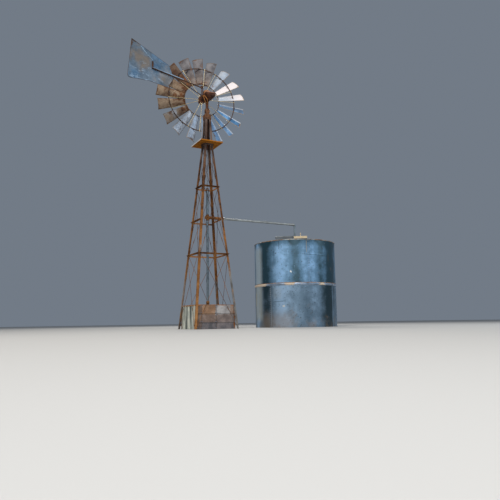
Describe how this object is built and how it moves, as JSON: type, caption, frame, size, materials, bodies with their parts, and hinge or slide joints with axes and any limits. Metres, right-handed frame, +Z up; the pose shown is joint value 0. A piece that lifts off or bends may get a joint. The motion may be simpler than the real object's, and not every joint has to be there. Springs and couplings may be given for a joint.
{
  "type": "wind pump with storage tank",
  "caption": "Rusty wind pump on a four-leg lattice tower over a sheet-walled well, with a delivery pipe to a round galvanized steel water tank.",
  "frame": {"origin": "underside of the well flange, on the tower's axis at floor level", "axes": "+Z up, +X level from the tower's axis along the delivery pipe towards the tank, +Y away from the viewer of the front face"},
  "size_m": [6.3462, 2.318, 7.5873],
  "materials": {
    "tower_rust": "rusted steel",
    "iron": "dark rust",
    "galvanized_blade": "weathered zinc with rust patches",
    "galvanized_pipe": "dull zinc",
    "tank_sheet": "mottled zinc with rust spots",
    "enclosure_sheet": "weathered sheet, rust stained",
    "board": "weathered"
  },
  "bodies": {
    "stand": {"leg_front": "tower_rust", "leg_right": "tower_rust", "leg_back": "tower_rust", "leg_left": "tower_rust", "lattice_front": "tower_rust", "lattice_right": "tower_rust", "lattice_back": "tower_rust", "lattice_left": "tower_rust", "platform": "tower_rust", "enclosure_front": "enclosure_sheet", "enclosure_right": "enclosure_sheet", "enclosure_back": "enclosure_sheet", "enclosure_left": "enclosure_sheet", "well_flange": "iron", "rising_main": "galvanized_pipe", "rod_gland": "iron", "delivery_branch": "tower_rust", "delivery_pipe": "galvanized_pipe", "delivery_spout": "galvanized_pipe", "mast_pipe": "iron", "mast_cap": "tower_rust", "tank_floor": "tank_sheet", "tank_lower_sheet_1": "tank_sheet", "tank_lower_sheet_2": "tank_sheet", "tank_lower_sheet_3": "tank_sheet", "tank_upper_sheet_1": "tank_sheet", "tank_upper_sheet_2": "tank_sheet", "tank_upper_sheet_3": "tank_sheet", "tank_band": "tank_sheet", "tank_rim": "tank_sheet", "tank_roof": "tank_sheet", "hatch_kerb": "tank_sheet", "hatch_cover_left": "galvanized_pipe", "hatch_cover_right": "board"},
    "pump_rod": {"pump_rod": "galvanized_pipe"},
    "head": {"turntable": "iron", "gear_case": "iron", "tail_bracket": "iron"},
    "wheel": {"wheel_section_1": "galvanized_blade", "wheel_section_2": "galvanized_blade", "wheel_section_3": "galvanized_blade", "wheel_section_4": "galvanized_blade", "wheel_section_5": "galvanized_blade", "wheel_section_6": "galvanized_blade", "wheel_arms": "tower_rust", "wheel_hub": "iron"},
    "tail": {"tail_boom": "iron", "tail_vane": "galvanized_blade"}
  },
  "joints": [
    {"name": "pump_rod_slide", "type": "slide", "parent": "stand", "child": "pump_rod", "axis": [0, 0, 1], "range_m": [-0.1, 0.1]},
    {"name": "head_yaw", "type": "hinge", "parent": "stand", "child": "head", "pos_m": [0, 0, 5.95], "axis": [0, 0, 1], "continuous": true},
    {"name": "wheel_spin", "type": "hinge", "parent": "head", "child": "wheel", "pos_m": [0.04424, 0.50572, 6.31], "axis": [0.0868, 0.9916, -0.0958], "continuous": true},
    {"name": "tail_furl", "type": "hinge", "parent": "head", "child": "tail", "pos_m": [-0.1757, -0.03482, 6.3235], "axis": [0, 0, 1], "range_deg": [-21.1, 66.7]}
  ]
}
